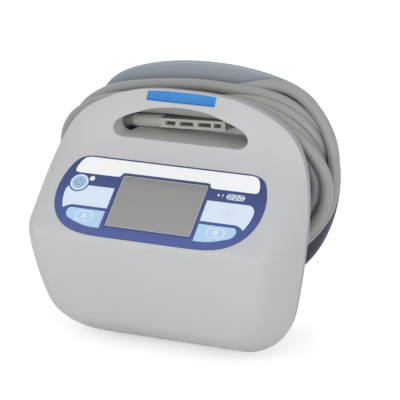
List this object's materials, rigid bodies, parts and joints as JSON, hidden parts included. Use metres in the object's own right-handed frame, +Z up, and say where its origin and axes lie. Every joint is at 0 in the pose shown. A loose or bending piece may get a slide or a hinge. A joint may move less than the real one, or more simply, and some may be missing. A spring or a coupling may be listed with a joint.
{
  "type": "compression therapy pump",
  "caption": "Bedside air compression pump with sloping keypad, handle grip, wound air hoses and a pull-out hook for a bed's footboard.",
  "frame": {"origin": "on the table under the middle of the body's box, hoses left out", "axes": "+X to the right seen from the front, +Y from the keypad's nose to the bed hook, +Z up"},
  "size_m": [0.192, 0.1121, 0.173],
  "materials": {
    "grey_shell": "fine moulded grain",
    "case_grey": "fine moulded grain",
    "pale_liner": "fine moulded grain",
    "blue_label": "printed film, bare",
    "dark_rubber": "matte",
    "blue_film": "printed membrane film",
    "pale_lens": "tinted window",
    "dark_print": "print",
    "key_blue": "membrane key",
    "display_glass": "anti-glare cover, display off",
    "display_grey": "unlit liquid crystal display",
    "board": "solder mask",
    "black_plastic": "moulded",
    "lamp_white": "diffusing lamp",
    "steel": "plain",
    "foam": "open foam",
    "natural_plastic": "moulded",
    "silicone": "clear silicone",
    "yellow_tape": "wound tape",
    "ribbon": "flat cable",
    "battery_wrap": "shrink wrap",
    "slate": "fine moulded grain",
    "hose": "smooth grey hose",
    "connector_grey": "moulded"
  },
  "bodies": {
    "console": {"front_cover": "grey_shell", "rear_case": "case_grey", "grip_liner": "pale_liner", "plain_label": "blue_label", "feet": "dark_rubber", "keypad_film": "blue_film", "left_lens": "pale_lens", "right_lens": "pale_lens", "battery_gauge": "pale_lens", "charge_lamps": "dark_print", "display_window": "display_glass", "display_module": "display_grey", "keypad_board": "board", "key_switches": "black_plastic", "status_lamp": "lamp_white", "pump_motor": "steel", "pump_head": "black_plastic", "pump_bracket": "steel", "pump_mounts": "dark_rubber", "inlet_filter": "foam", "muffler": "black_plastic", "valve_manifold": "natural_plastic", "solenoid_valves": "black_plastic", "pressure_sensor": "black_plastic", "air_tube": "silicone", "port_elbow_a": "natural_plastic", "port_elbow_b": "natural_plastic", "main_board": "board", "main_board_parts": "black_plastic", "buzzer": "black_plastic", "power_board": "board", "transformer": "yellow_tape", "power_parts": "black_plastic", "mains_inlet": "black_plastic", "wiring_loom": "ribbon", "battery_pack": "battery_wrap", "battery_tray": "steel", "rod_bushes": "natural_plastic", "hook_springs": "steel", "case_screws": "steel", "hose_coil_a": "hose", "hose_coil_b": "hose", "hose_lead_a": "hose", "hose_lead_b": "hose", "hose_tail_a": "hose", "hose_tail_b": "hose", "connector_a": "connector_grey", "connector_b": "connector_grey"},
    "hook": {"bed_hook": "slate", "hook_rods": "steel", "rod_clips": "steel", "hook_screws": "steel", "hook_pads": "dark_rubber"},
    "key_a": {"button_a": "key_blue"},
    "key_b": {"button_b": "key_blue"},
    "key_power": {"power_button": "key_blue"}
  },
  "joints": [
    {"name": "hook_pull", "type": "slide", "parent": "console", "child": "hook", "axis": [0, 1, 0], "range_m": [0, 0.03], "stiffness_N_per_m": 350, "springref_m": -0.012, "deforming": ["hook_springs"]},
    {"name": "a_press", "type": "slide", "parent": "console", "child": "key_a", "axis": [0, 0.6347, -0.7727], "range_m": [0, 0.001], "stiffness_N_per_m": 400},
    {"name": "b_press", "type": "slide", "parent": "console", "child": "key_b", "axis": [0, 0.6347, -0.7727], "range_m": [0, 0.001], "stiffness_N_per_m": 400},
    {"name": "power_press", "type": "slide", "parent": "console", "child": "key_power", "axis": [0, 0.6347, -0.7727], "range_m": [0, 0.001], "stiffness_N_per_m": 400}
  ]
}
